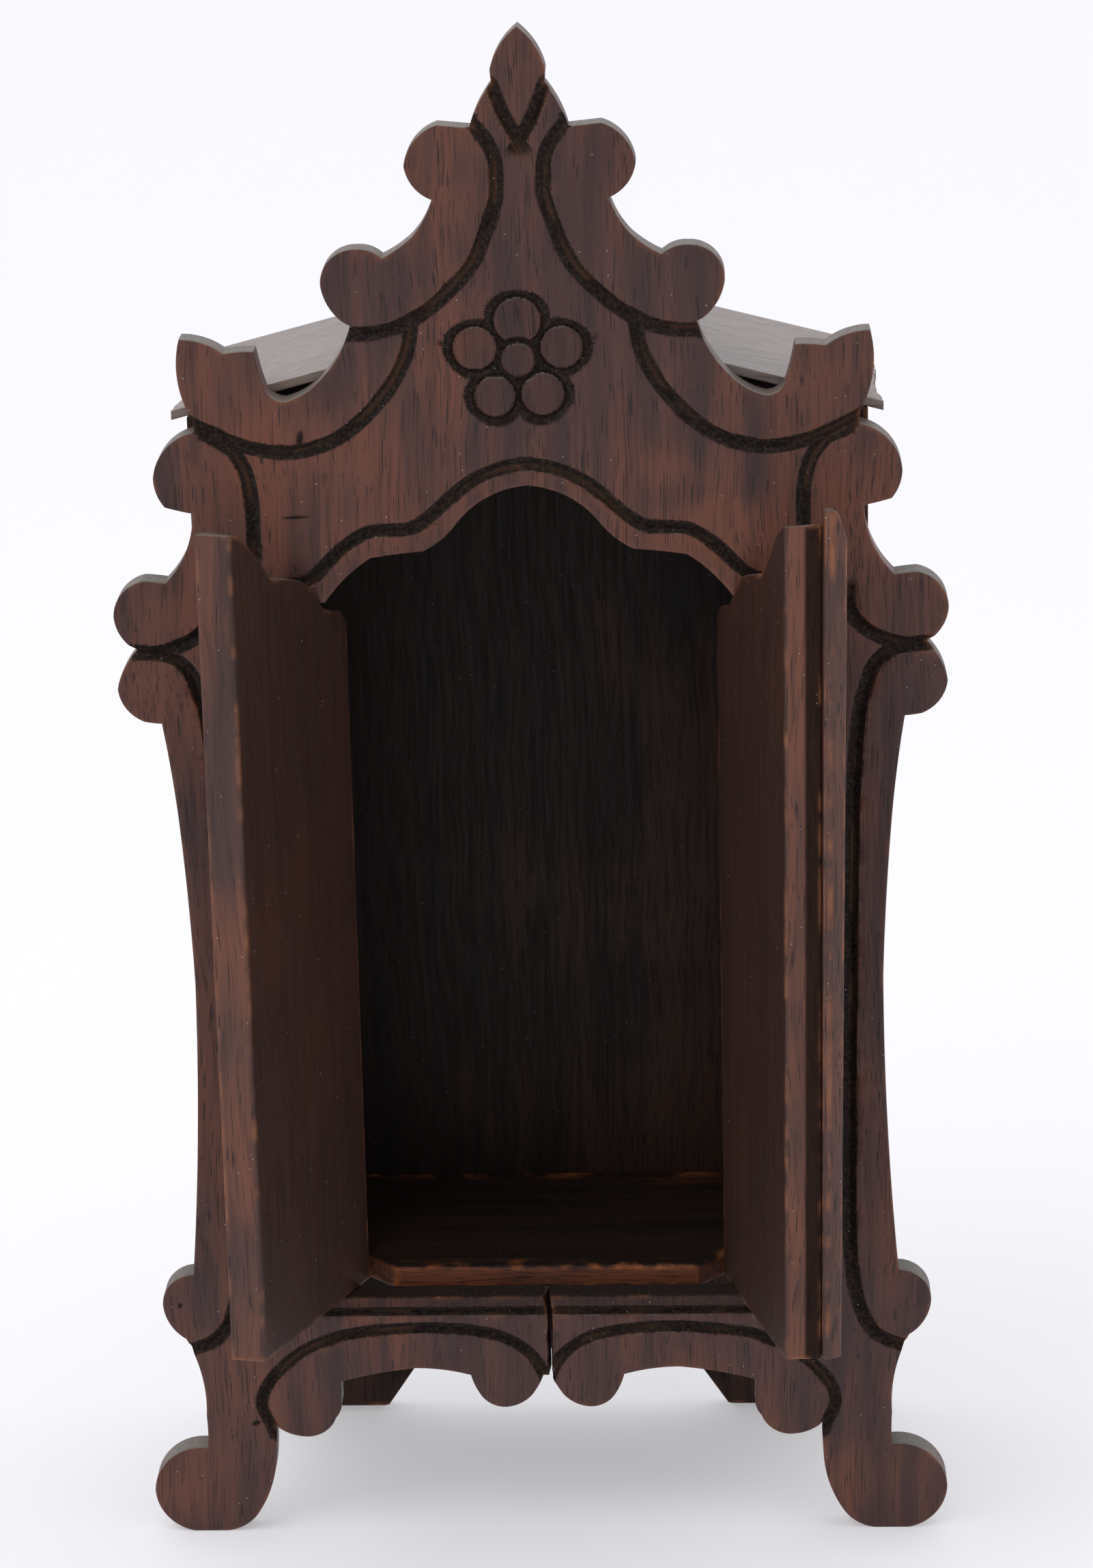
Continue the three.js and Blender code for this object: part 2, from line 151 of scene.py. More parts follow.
# Thickness of the front and the back board, and the play between boards
BOARD, GAP = 9.5, 0.3
BACK_Y = 91
SIDE_INNER, SIDE_OUTER, SIDE_BOTTOM = 98, 106, 60
RIDGE_Z, ROOF_FALL, ROOF_THICK, ROOF_BACK_Y = 409.6, 0.2586, 2.9, 93
ROOF_DROP = ROOF_THICK * math.hypot(1, ROOF_FALL)
EAVE = [[110.8, 9.8], [110.5, 16], [109.2, 22], [109, 33], [110, 52], [109.4, 75], [110.3, 93]]
FLOOR_TOP, FLOOR_THICK = 90.9, 8
FLOOR_FRONT = [[-97.7, 19.7], [-59, 19.7], [-50, 10.1], [50, 10.1], [59, 19.7], [97.7, 19.7]]
BACK_FOOT = [[-106, 0], [-61.6, 0], [-45.6, 24], [45.6, 24], [61.6, 0], [106, 0]]
SOLE_EDGE_Y, SOLE_SLOPE = 96.5, 2.6 / 5.5

# Doors, as the side of their hinge, the hinge's x, the width from it and the opening in degrees
DOORS = {"left": (-1, 64.8, 65.0, 113.8), "right": (1, 63.6, 62.8, 106.0)}
PIVOT_Y = 7.1
DOOR_INNER, DOOR_OUTER, DOOR_BOTTOM = 2.6, -8.4, 85
HINGE_RADIUS, EDGE_BEVEL = 9.3, 2.4
# Height at which the warp of a door and the lean of the strip are given
LEAN_TOP = 350
DOOR_TOP = [
    [66, 356.4], [60, 355.9], [56, 353.8], [52, 350.9], [44, 343.3], [40, 338.8], [36.5, 336.3],
    [24, 333], [17, 330.3], [10.5, 324.7], [6, 319.7], [1, 317.2], [-5.5, 315.2], [-9.3, 310.8],
]
# Further turn of each door's top in degrees, and how much its free edge stands higher
WARP = {"left": 0, "right": 1.1}
TOP_RISE = {"left": 0, "right": 1.0}

# The strip's section about the right door's free edge, as [beyond it, out from its axis]: from the
# outer corner at the end of the lap to the inner one. The arris it shows stands further out and
# further beyond the edge at its top.
STRIP = [[-4, 14.9], [0.6, 14.9], [1.6, 9.9], [-0.2, 8.7], [-4, 8.7]]
STRIP_LEAN, STRIP_SPREAD, STRIP_FACE = 2.0, 0.7, 8.7
STRIP_TOP = [[-15.2, 352], [-14.6, 353.6], [-13.3, 357], [-11.9, 361.1], [-9.8, 362], [-8.6, 360.8]]

# Width over which an arris is worn, and the height of the doorway's upper corners
WEAR_REACH, LINTEL_Z = 1.1, 321

# The photograph's camera, in millimetres and degrees
CAMERA_PLACE = (56.7, -1389.8, 703.6)
CAMERA_YAW, CAMERA_PITCH, CAMERA_ROLL = (math.radians(a) for a in (-2.17, 17.66, -1.29))
CAMERA_LENS, SENSOR = 105.94, 36


def linear(code, alpha=1.0):
    """The linear colour of an sRGB hex code."""
    channels = [int(code[i : i + 2], 16) / 255 for i in (1, 3, 5)]
    light = [c / 12.92 if c <= 0.04045 else ((c + 0.055) / 1.055) ** 2.4 for c in channels]
    return (*light, alpha)


def place(points):
    """Points in millimetres about the panel's face, in metres in the frame."""
    return np.asarray(points, float) / 1000 + (0, FACE_Y, 0)


def arc_points(start, end, rise, step):
    """Points after start and up to end of a circular arc: the centre lies on the chord's middle line
    at the rise less the radius, and the spoke to start turns about it in equal angles."""
    start, end = np.array(start, float), np.array(end, float)
    chord = end - start
    half = np.hypot(*chord) / 2
    if abs(rise) < 0.1:
        count = max(1, math.ceil(2 * half / step))
        return start + np.arange(1, count + 1)[:, None] / count * chord
    radius = (half**2 + rise**2) / (2 * rise)
    sweep = 4 * math.atan(rise / half)
    left = np.array([-chord[1], chord[0]]) / (2 * half)
    centre = (start + end) / 2 + left * (rise - radius)
    count = max(1, math.ceil(abs(sweep * radius) / step))
    turn = -sweep * np.arange(1, count + 1) / count
    x, z = start - centre
    return centre + np.c_[np.cos(turn) * x - np.sin(turn) * z, np.sin(turn) * x + np.cos(turn) * z]


def trace(steps, step):
    """The whole route of lines and arcs, with points at most a step apart."""
    arcs = [arc_points(a[:2], b[:2], (*b, 0)[2], step) for a, b in zip(steps, steps[1:])]
    return np.vstack([[steps[0][:2]], *arcs])


def smooth_route(corners, step):
    """A Catmull-Rom curve through the corners: on each span, a cubic of the four nearest ones."""
    p = np.array(corners, float)
    p = np.vstack([2 * p[0] - p[1], p, 2 * p[-1] - p[-2]])
    spans = []
    for a, b, c, d in zip(p, p[1:], p[2:], p[3:]):
        t = np.linspace(0, 1, max(2, math.ceil(np.hypot(*(c - b)) / step)), endpoint=False)[:, None]
        cubic = 2 * b + (c - a) * t + (2 * a - 5 * b + 4 * c - d) * t**2 + (3 * b - a - 3 * c + d) * t**3
        spans.append(cubic / 2)
    return np.vstack([*spans, p[-2:-1]])


def mirrored(points):
    return np.asarray(points, float) * (-1, 1)


def nearest(points, line):
    """Distance of each point to a line of segments, and +1 where it lies to the left of its way,
    -1 to the right: the foot of the perpendicular is held within each segment."""
    a, way = line[:-1], np.diff(line, axis=0)
    off = points[:, None] - a
    t = np.clip((off * way).sum(-1) / (way**2).sum(-1), 0, 1)
    gap = np.hypot(*np.moveaxis(off - t[..., None] * way, -1, 0))
    best = gap.argmin(1)
    rows = np.arange(len(points))
    cross = way[best, 0] * off[rows, best, 1] - way[best, 1] * off[rows, best, 0]
    return gap[rows, best], np.where(cross >= 0, 1, -1)


def wobble(points, length):
    """A gentle unevenness between -1 and 1: four sines of different directions and this length."""
    turns = np.array([0.3, 1.2, 2.2, 2.9])
    phase = points @ np.array([np.cos(turns), np.sin(turns)]) * (2 * math.pi / length)
    return np.sin(phase * (1, 1.37, 0.83, 1.71) + (0.4, 2.1, 4.0, 5.3)).mean(-1)


def groove_lines(step):
    """Every groove of both halves, as its name, soft side and line."""
    lines = []
    for name, (soft, corners) in GROOVES.items():
        line = smooth_route(corners, step)
        lines += [(name, soft, line), (name, -soft, mirrored(line))]
    return lines


def carve(points, sizes):
    """Depth of the carving under the face, and how near a point is to a groove's root and to its
    crisp upper edge. A groove's depth falls from its root to nothing over each flank's width, and
    the flower's falls away from the rim of every petal and of the boss."""
    depth, root, crest = (np.zeros(len(points)) for _ in range(3))
    deep = sizes.groove_depth * 1000
    wide, steep = sizes.soft_flank * 1000, sizes.crisp_flank * 1000
    for name, soft, line in groove_lines(1.0):
        wide_share, steep_share = FLANKS.get(name, (1, 1))
        inside_box = ((points > line.min(0) - wide - 2) & (points < line.max(0) + wide + 2)).all(1)
        near = np.flatnonzero(inside_box)
        if not len(near):
            continue
        gap, side = nearest(points[near], line)
        on_soft = side == soft
        width = np.where(on_soft, wide * wide_share, steep * steep_share)
        width = width * (1 + 0.1 * wobble(points[near], 17) + 0.05 * wobble(points[near], 2.3))
        share = np.clip(1 - gap / width, 0, 1)
        shape = np.where(on_soft, share**1.1, share**0.85)
        depth[near] = np.maximum(depth[near], deep * shape * (1 + 0.12 * wobble(points[near], 9)))
        root[near] = np.maximum(root[near], np.exp(-((gap / 0.35) ** 2)))
        rim = np.where(on_soft, 0, np.exp(-(((gap - width) / 0.4) ** 2)))
        crest[near] = np.maximum(crest[near], rim)

    centre = points - FLOWER
    near = np.flatnonzero(np.hypot(*centre.T) < FLOWER_REACH)
    if len(near):
        petals = np.array(PETALS)
        off = centre[near, None] - petals[:, :2]
        beyond = np.hypot(off[..., 0], off[..., 1]) - petals[:, 2]
        turn = np.arctan2(off[..., 1], off[..., 0])
        reach = 3.0 + 0.4 * np.sin(turn * 3 + petals[:, 0]) + 0.3 * np.sin(turn * 67)
        ridge = 0.25 * np.exp(-(((beyond - 1.2) / 0.5) ** 2))
        moat = deep * (np.clip(1 - beyond / reach, 0, 1) ** 0.9 - ridge)
        moat = np.where(beyond < 0, 0, moat).max(1)
        beyond = beyond.min(1)
        rounding = 0.25 + 0.5 * np.clip(1 + beyond / 1.1, 0, 1) ** 2 + 0.06 * wobble(centre[near], 4.1)
        flower = np.where(beyond < 0, rounding, moat)
        boss = np.hypot(*centre[near].T) - sizes.boss_radius * 1000
        hollow = deep * np.clip(1.25 - np.abs(boss - 0.9) / 1.1, 0, 1) ** 0.8
        dome = 0.1 + 0.6 * np.clip(1 + boss / 1.4, 0, 1) ** 2
        flower = np.where(boss < 0, dome, np.maximum(flower, hollow))
        depth[near] = np.maximum(depth[near], flower)
        foot = np.where((beyond < 0) | (boss < 0), 0, np.exp(-((beyond / 0.5) ** 2)))
        root[near] = np.maximum(root[near], 0.5 * foot)

    for x, z, length, width, turn, deepest in DENTS:
        off = points - (x, z)
        c, s = math.cos(math.radians(turn)), math.sin(math.radians(turn))
        along, across = off @ (c, s) / length, off @ (-s, c) / width
        depth = np.maximum(depth, deepest * np.exp(-(along**2 + across**2)))
    return depth, root, crest


def dirt_and_shade(points, depth):
    """Share of dark colour: all of a cut 0.15 mm deep, for dirt in the cuts, but little on petals and
    boss; and at least half on the sill, as painted shade of the doors over its dark finish."""
    petals = np.array(PETALS)
    off = points[:, None] - np.add(FLOWER, petals[:, :2])
    on_petal = (np.hypot(off[..., 0], off[..., 1]) < petals[:, 2]).any(1)
    boss = np.hypot(*(points - FLOWER).T)
    on_flower = (on_petal & (boss > 7)) | (boss < 5.2)
    share = np.where(on_flower, 0.15, np.clip((depth - 0.03) / 0.12, 0, 1))
    sill = np.clip((points[:, 1] - 78) / 2, 0, 1) * (points[:, 1] < 84.6) * (np.abs(points[:, 0]) < 79)
    return np.maximum(share, 0.5 * sill)


def warmth(points):
    """How far the finish has worn thin: a Gaussian over each warm spot, the strongest one counts."""
    share = np.zeros(len(points))
    for x, z, across, up, strength in WARM_SPOTS:
        gap = ((points - (x, z)) / (across, up)) ** 2
        share = np.maximum(share, strength * np.exp(-gap.sum(1)))
    return share


def panel_loop(step):
    """The panel's edge as one closed loop, clockwise from the tip: the right outline, the split's
    right side, the opening, the split's left side and the left outline."""
    outline, opening = trace(PANEL_HALF, step), trace(OPENING_HALF, step)
    right, left = outline[:-1], mirrored(outline[::-1])[:-1]
    split_up = trace(SPLIT_RIGHT, step)
    split_down = trace(SPLIT_LEFT[::-1], step)
    for side in (split_up, split_down):
        side[1:-1, 0] += 0.16 * wobble(side[1:-1], 3.1)
    sill_right = trace([SPLIT_RIGHT[-1], OPENING_HALF[-1]], step)[1:-1]
    sill_left = trace([(-OPENING_HALF[-1][0], OPENING_HALF[-1][1]), SPLIT_LEFT[-1]], step)[1:-1]
    loop = np.vstack([
        right, split_up, sill_right, opening[::-1], mirrored(opening)[1:], sill_left, split_down, left,
    ])
    far = np.hypot(*(loop - np.roll(loop, 1, 0)).T) > 0.12
    return loop[far]


def inward(loop):
    """At each corner of a clockwise loop, the step that moves both its sides inwards by one: the sum
    of their normals over one plus the normals' product."""
    way = np.roll(loop, -1, 0) - loop
    normal = np.c_[way[:, 1], -way[:, 0]] / np.hypot(*way.T)[:, None]
    before = np.roll(normal, 1, 0)
    product = (normal * before).sum(1, keepdims=True)
    return (normal + before) / np.maximum(1 + product, 0.5)


def inside(points, loop):
    """Whether each point lies within the loop: a ray to its right crosses the loop an odd number of
    times. Points are taken in bands of height, each against the sides that reach it."""
    ahead = np.roll(loop, -1, 0)
    rise = ahead[:, 1] - loop[:, 1]
    slant = (ahead[:, 0] - loop[:, 0]) / np.where(rise == 0, 1, rise)
    low, high = np.minimum(loop[:, 1], ahead[:, 1]), np.maximum(loop[:, 1], ahead[:, 1])
    held = np.zeros(len(points), bool)
    for band in np.array_split(np.argsort(points[:, 1]), 400):
        x, z = points[band, 0, None], points[band, 1, None]
        some = (high >= z.min()) & (low <= z.max())
        crossed = (z >= low[some]) & (z < high[some])
        right = loop[some, 0] + (z - loop[some, 1]) * slant[some] > x
        held[band] = (crossed & right).sum(1) % 2 == 1
    return held


def fill(loop, inner):
    """Triangles that fill a clockwise loop, with the inner points among their corners. Gives the
    corners, the triangles, and each loop point's corner."""
    count = len(loop)
    points = np.vstack([loop, inner[inside(inner, loop)]])
    edges = [(i, (i + 1) % count) for i in range(count)]
    corners, _, faces, origins, _, _ = delaunay_2d_cdt(
        [tuple(p) for p in points], edges, [], 0, 1e-5, True
    )
    at = np.full(count, -1)
    for corner, ids in enumerate(origins):
        for i in ids:
            if i < count:
                at[i] = corner
    if (at < 0).any():
        raise RuntimeError("a corner of the panel's edge was lost")
    corners, faces = np.array([tuple(c) for c in corners]), np.array(faces)
    faces = faces[inside(corners[faces].mean(1), loop)]
    used = np.unique(np.concatenate([faces.ravel(), at]))
    renumber = np.zeros(len(corners), int)
    renumber[used] = np.arange(len(used))
    return corners[used], renumber[faces], renumber[at]


def thinned(points, cell, taken=None):
    """The points left when each square cell keeps only its first, and none where one is taken."""
    key = np.floor(points / cell).astype(int)
    if taken is not None:
        held = {tuple(k) for k in np.floor(taken / cell).astype(int)}
        free = np.array([tuple(k) not in held for k in key], bool)
        points, key = points[free], key[free]
    _, first = np.unique(key, axis=0, return_index=True)
    return points[np.sort(first)]


def lattice(low, high, gap):
    """Rows of points, each shifted by half a gap, between two corners."""
    rows = np.arange(low[1], high[1], gap * math.sqrt(3) / 2)
    x, z = np.meshgrid(np.arange(low[0], high[0], gap, dtype=float), rows)
    x[1::2] += gap / 2
    return np.c_[x.ravel(), z.ravel()]


def face_points(loop, sizes):
    """Points of the panel's face: rows that follow the arris and the grooves, a close lattice over
    the flower and dents, and a coarse one elsewhere."""
    step = inward(loop)
    rows = [loop + step * inset for inset in (1.0, 1.7)]
    wide, steep = sizes.soft_flank * 1000, sizes.crisp_flank * 1000
    offsets = [0, 0.3, 0.6, 0.84, 1.0, 1.2]
    for name, soft, line in groove_lines(0.7):
        way = np.gradient(line, axis=0)
        left = np.c_[-way[:, 1], way[:, 0]] / np.hypot(*way.T)[:, None]
        wide_share, steep_share = FLANKS.get(name, (1, 1))
        rows += [line + left * soft * o * wide * wide_share for o in offsets]
        rows += [line - left * soft * o * steep * steep_share for o in offsets[2:]]
    close = lattice((-26, FLOWER[1] - 25), (25, FLOWER[1] + 25), 0.42)
    close = close[np.hypot(*(close - FLOWER).T) < FLOWER_REACH]
    rows += [lattice((x - 5, z - 5), (x + 5, z + 5), 0.45) for x, z, *_ in DENTS]
    aligned = thinned(np.vstack([close, *rows]), 0.42)
    shifts = ((0, 0), (0.8, 0), (-0.8, 0), (0, 0.8), (0, -0.8))
    blocked = np.vstack([aligned + shift for shift in shifts])
    middle = thinned(lattice((-132, 1), (132, 499), 2.2), 1.0, blocked)
    return np.vstack([aligned, middle])


def clear_of(points, loop, gap):
    """The points that are further than a gap from a close-set loop, found on a grid of cells."""
    low = np.minimum(points.min(0), loop.min(0)) - 2 * gap
    cell = gap / 2
    high = np.maximum(points.max(0), loop.max(0)) + 2 * gap
    shape = tuple(np.ceil((high - low) / cell).astype(int) + 1)
    near = np.zeros(shape, bool)
    ahead = np.roll(loop, -1, 0)
    for share in (0, 0.34, 0.67):
        i, j = np.floor((loop + share * (ahead - loop) - low) / cell).astype(int).T
        for di in range(-2, 3):
            for dj in range(-2, 3):
                near[i + di, j + dj] = True
    i, j = np.floor((points - low) / cell).astype(int).T
    return points[~near[i, j]]


def edge_wear(points, loop, reach=2.0):
    """How near each point is to the loop's arris, from 1 on it to 0 at the reach."""
    wear = np.zeros(len(points))
    for chunk in np.array_split(np.argsort(points[:, 1]), 400):
        z = points[chunk, 1]
        some = loop[(loop[:, 1] > z.min() - reach) & (loop[:, 1] < z.max() + reach)]
        if len(some):
            off = points[chunk, None] - some
            gap = np.sqrt((off**2).sum(-1).min(1))
            wear[chunk] = np.clip(1 - gap / reach, 0, 1) ** 2
    return wear


def add_piece(name, shape, body, node, material):
    """A piece from its vertices in millimetres, faces and attributes, riding on a body for a node."""
    vertices, faces, values = shape
    mesh = bpy.data.meshes.new(name)
    mesh.from_pydata(place(vertices).tolist(), [], faces)
    for key, value in values.items():
        mesh.attributes.new(key, "FLOAT", "POINT").data.foreach_set("value", value.astype(np.float32))
    mesh.shade_smooth()
    mesh.set_sharp_from_angle(angle=math.radians(38))
    mesh.materials.append(material)
    piece = bpy.data.objects.new(name, mesh)
    bpy.context.scene.collection.objects.link(piece)
    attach(piece, body)
    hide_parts(node)


def ring_quads(lower, upper):
    """Quads between two closed rings of corner numbers, each joined to the next one along."""
    return np.c_[lower, np.roll(lower, -1), np.roll(upper, -1), upper]


def on_split(points):
    """Whether each point of the panel's edge belongs to a side of the split."""
    return (np.abs(points[:, 0] - SPLIT_X) < 2) & (points[:, 1] > 53) & (points[:, 1] < 84.4)


def carved_panel(sizes):
    """Vertices, faces and attributes of the front panel: its face is the carving's depth over the
    filled outline, then rings go round the arris, down the edge and round the back's arris."""
    round_off, back_round = sizes.arris * 1000, 0.35
    loop = panel_loop(0.75)
    step = inward(loop)
    rim = loop + step * round_off
    inner = clear_of(face_points(loop, sizes), rim, 0.34)
    corners, front, at = fill(rim, inner)
    back_rim = loop + step * back_round
    split = on_split(loop)
    back_rim[split, 0] = SPLIT_X + 0.05 * (back_rim[split, 0] - SPLIT_X)
    back_inner = clear_of(lattice((-131, 1), (131, 499), 6), back_rim, 1.2)
    back_corners, back, back_at = fill(back_rim, back_inner)

    depth, root, crest = carve(corners, sizes)
    wear = np.maximum(edge_wear(corners, loop), 0.75 * crest)
    marks = np.c_[dirt_and_shade(corners, depth), root, wear, warmth(corners)]
    rows = [np.c_[corners[:, 0], depth, corners[:, 1], marks]]
    rings = [at]
    count = len(corners)
    for share, drop, worn in ((0.29, 0.29, 1.0), (0.0, 1.0, 0.6), (0.0, 3.2, 0.0), (0.0, None, 0.0)):
        ring = loop + step * round_off * share
        ring_depth, *_ = carve(ring, sizes)
        y = BOARD - back_round if drop is None else ring_depth + round_off * drop
        y = np.minimum(y + np.zeros(len(ring)), BOARD - back_round)
        split = on_split(ring)
        if drop is None:
            ring[split, 0] = SPLIT_X + 0.15 * (ring[split, 0] - SPLIT_X)
        warm = np.where(split & (worn < 1), 0.9, warmth(ring))
        # The sill's top is painted dark: shade of the doors over its dark finish
        on_sill = (np.abs(ring[:, 1] - 84.5) < 0.6) & (np.abs(ring[:, 0]) < 78)
        grime_and_shade = np.where(on_sill, 0.9, 0 if worn == 0 else dirt_and_shade(ring, ring_depth))
        rows.append(np.c_[ring[:, 0], y, ring[:, 1], grime_and_shade, 0 * y, 0 * y + worn, warm])
        rings.append(np.arange(count, count + len(ring)))
        count += len(ring)
    plain = np.zeros((len(back_corners), 4))
    rows.append(np.c_[back_corners[:, 0], plain[:, 0] + BOARD, back_corners[:, 1], plain])
    rings.append(back_at + count)

    quads = [ring_quads(a, b) for a, b in zip(rings, rings[1:])]
    faces = front.tolist() + np.vstack(quads).tolist() + (back[:, ::-1] + count).tolist()
    table = np.vstack(rows)
    return table[:, :3], faces, dict(zip(("carve", "root", "wear", "warm"), table[:, 3:].T))


def spread(keys, counts):
    """A route through the key points, with this many equal steps between each two."""
    keys = np.array(keys, float)
    pairs = zip(keys[:-1], keys[1:], counts, strict=True)
    spans = [a + np.arange(n)[:, None] / n * (b - a) for a, b, n in pairs]
    return np.vstack([*spans, keys[-1:]])


def board(front, back, low_of, top_of, arris, row_gap, cross=2):
    """A closed board that stands on a plan between a front and a back chain of as many points, both
    from left to right. The ring round the plan is carried up from low_of to top_of, drawn in round
    its lower and upper arrises by a quarter circle, and each end is a grid between the chains."""
    count = len(front)
    share = (np.arange(1, cross + 1) / (cross + 1))[:, None]
    right = front[-1] + share * (back[-1] - front[-1])
    left = back[0] + share * (front[0] - back[0])
    ring = np.vstack([front, right, back[::-1], left])
    way = np.roll(ring, -1, 0) - np.roll(ring, 1, 0)
    outward = np.c_[way[:, 1], -way[:, 0]] / np.hypot(*way.T)[:, None]
    bend = np.radians([0, 30, 60, 90])
    bends = list(zip(arris * (1 - np.sin(bend)), arris * (1 - np.cos(bend))))
    levels = [np.c_[flat, low_of(flat) + up] for flat, up in ((ring - outward * i, u) for i, u in bends)]
    low, tall = low_of(ring) + arris, top_of(ring) - low_of(ring) - 2 * arris
    edge = np.minimum(WEAR_REACH / tall, 0.3)
    rows = max(2, round(float(np.median(tall)) / row_gap))
    for s in (edge, *(edge + t * (1 - 2 * edge) for t in np.linspace(0, 1, rows)[1:-1]), 1 - edge):
        levels.append(np.c_[ring, low + s * tall])
    levels += [
        np.c_[flat, top_of(flat) - up] for flat, up in ((ring - outward * i, u) for i, u in bends[::-1])
    ]

    before, after = ring - np.roll(ring, 1, 0), np.roll(ring, -1, 0) - ring
    turn = np.arctan2(
        before[:, 0] * after[:, 1] - before[:, 1] * after[:, 0], (before * after).sum(1)
    )
    corners = ring[np.abs(turn) > math.radians(18)]
    gap = np.hypot(*np.moveaxis(ring[:, None] - corners, -1, 0)).min(1) if len(corners) else 99
    upright = np.clip(1 - gap / WEAR_REACH, 0, 1) ** 2 * np.ones(len(ring))
    wear = np.tile(upright, (len(levels), 1))
    for row in (0, 1, 2, 3, -1, -2, -3, -4):
        wear[row] = np.maximum(wear[row], 0.7 if row in (0, -1) else 1)

    number = np.arange(len(levels) * len(ring)).reshape(len(levels), -1)
    quads = [ring_quads(a, b) for a, b in zip(number, number[1:])]
    blocks, marks, start = [np.vstack(levels)], [wear.ravel()], number.size
    last = 2 * count + 2 * cross
    for row, height, flip in ((0, low_of, True), (-1, top_of, False)):
        flat, ids = levels[row][:, :2], number[row]
        a, b = flat[1 : count - 1], flat[count + cross : last - cross][::-1][1:-1]
        inner = (a + share[:, :, None] * (b - a)).reshape(-1, 2)
        blocks.append(np.c_[inner, height(inner)])
        marks.append(np.zeros(len(inner)))
        inner_ids = start + np.arange(len(inner)).reshape(cross, count - 2)
        start += len(inner)
        grid = np.vstack([
            ids[:count],
            np.c_[ids[last - cross :][::-1], inner_ids, ids[count : count + cross]],
            ids[count + cross : last - cross][::-1],
        ])
        cells = np.stack([grid[:-1, :-1], grid[:-1, 1:], grid[1:, 1:], grid[1:, :-1]], -1)
        cells = cells.reshape(-1, 4)
        quads.append(cells[:, ::-1] if flip else cells)
    return np.vstack(blocks), np.vstack(quads).tolist(), {"wear": np.concatenate(marks)}


def eased(corner, before, after, radius):
    """Three points that round a corner off, on its two sides and on its bisector."""
    corner, before, after = (np.array(p, float) for p in (corner, before, after))
    a = corner + radius * (before - corner) / np.hypot(*(before - corner))
    b = corner + radius * (after - corner) / np.hypot(*(after - corner))
    return [a, (a + b + 2 * corner) / 4 + (a + b - 2 * corner) / 12, b]


def straight_board(x0, x1, y0, y1, arris, steps):
    """Front and back chains of a rectangular plan with eased corners."""
    front = [*eased((x0, y0), (x0, y1), (x1, y0), arris), *eased((x1, y0), (x0, y0), (x1, y1), arris)]
    back = [*eased((x0, y1), (x0, y0), (x1, y1), arris), *eased((x1, y1), (x0, y1), (x1, y0), arris)]
    counts = (1, 1, steps, 1, 1)
    return spread(front, counts), spread(back, counts)


def door_chains(side, width, arris):
    """A door's section about its axis: an arc round the hinge end between the outer face and the
    inner one, straight faces, and a bevelled free edge with eased corners."""
    outer, inner = (math.asin(abs(y) / HINGE_RADIUS) for y in (DOOR_OUTER, DOOR_INNER))
    chains = []
    free = [(width, DOOR_OUTER), (width - EDGE_BEVEL, DOOR_INNER)]
    for sign, limit, corner, other in ((-1, outer, *free), (1, inner, *free[::-1])):
        turn = np.linspace(0.03, limit, 9)
        arc = HINGE_RADIUS * np.c_[-np.cos(turn), sign * np.sin(turn)]
        near, far = eased(corner, (0, corner[1]), other, arris), arc[-1]
        keys = [far, (13, corner[1]), (near[0][0] - 1.5, corner[1]), *near]
        chains.append(np.vstack([arc[:-1], spread(keys, (18, 22, 1, 1, 1))]))
    chains = [c * (-side, 1) for c in chains]
    return [c[::-1] for c in chains] if side > 0 else chains


def in_rebate(flat, side):
    """Whether each point lies within the rebate of a door's outer corner, seen from above."""
    a, y = -side * flat[:, 0], flat[:, 1]
    slant = np.interp(y, [-9, 1.2, 3], [12.8, 8.2, 7.2])
    return (a > 3) & (a < slant) & (y < 3)


def turned(vertices, name):
    """Door vertices about their own axis, turned about it, further with their height where the door
    is warped, and moved to the hinge."""
    side, hinge_x, _, degrees = DOORS[name]
    x, y, z = vertices.T
    turn = side * np.radians(degrees + WARP[name] * (z - DOOR_BOTTOM) / (LEAN_TOP - DOOR_BOTTOM))
    c, s = np.cos(turn), np.sin(turn)
    return np.c_[c * x - s * y + side * hinge_x, s * x + c * y + PIVOT_Y, z]


def door_leaf(name, arris):
    """A door with its scrolled top: the inner face is browner, the free edge warmer, and the right
    one's free edge darkened beside the strip as painted shade."""
    side, _, width, _ = DOORS[name]
    table = smooth_route(DOOR_TOP, 1)[::-1]

    def top(flat):
        out = -side * flat[:, 0]
        z = np.interp(out, table[:, 0], table[:, 1]) + TOP_RISE[name] * np.clip((out - 44) / 8, 0, 1)
        return np.where(in_rebate(flat, side), np.minimum(z, LINTEL_Z - 0.5), z)

    chains = door_chains(side, width, arris)
    vertices, faces, values = board(*chains, level(DOOR_BOTTOM), top, arris, 6, 9)
    values["inner"] = np.clip((vertices[:, 1] - DOOR_INNER + 1) / 0.8, 0, 1)
    values["warm"] = np.where(side * vertices[:, 0] < EDGE_BEVEL - width, 0.85 if side > 0 else 0.15, 0)
    if side > 0:
        # Painted shade: the right door's free edge darkens towards the strip that stands out in front of
        # it
        near_strip = (vertices[:, 0] < 1 - width) & (vertices[:, 1] < DOOR_INNER - 0.3)
        values["carve"] = near_strip * np.clip((-0.2 - vertices[:, 1]) / 2.5, 0.25, 0.9)
    return turned(vertices, name), faces, values


